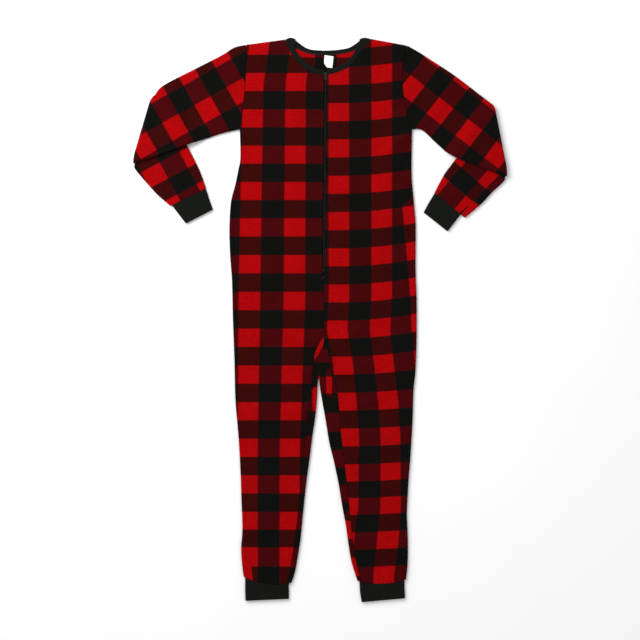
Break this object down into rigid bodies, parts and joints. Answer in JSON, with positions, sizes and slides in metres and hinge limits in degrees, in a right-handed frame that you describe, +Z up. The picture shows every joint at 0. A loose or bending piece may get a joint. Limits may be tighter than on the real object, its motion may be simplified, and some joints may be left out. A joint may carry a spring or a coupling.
{
  "type": "onesie pajama",
  "caption": "Long-sleeved one-piece pajama in checked fleece, laid flat face up with its sleeves folded under, closed by a front zip, with ribbed cuffs and neckband.",
  "frame": {"origin": "middle of the garment's underside, on the surface it lies on", "axes": "+Y towards the neck, +X towards the wearer's left, +Z up out of the front"},
  "size_m": [0.9309, 1.41, 0.0178],
  "materials": {
    "fleece": "brushed fleece in a red and black check",
    "rib": "black rib knit",
    "tape": "black woven tape with a fine coil",
    "metal": "dark enamelled zip fittings",
    "label": "white satin, blank"
  },
  "bodies": {
    "garment": {"front_right": "fleece", "front_left": "fleece", "back": "fleece", "sleeve_right": "fleece", "sleeve_left": "fleece", "cuff_wrist_right": "rib", "cuff_wrist_left": "rib", "cuff_ankle_right": "rib", "cuff_ankle_left": "rib", "neckband": "rib", "zip_tape_right": "tape", "zip_tape_left": "tape", "zip_slider": "metal", "zip_stop": "metal", "label": "label"},
    "pull": {"zip_pull": "metal"}
  },
  "joints": [
    {"name": "pull_hinge", "type": "hinge", "parent": "garment", "child": "pull", "pos_m": [0.01383, 0.6135, 0.00875], "axis": [-1, 0, 0], "range_deg": [0, 170]}
  ]
}
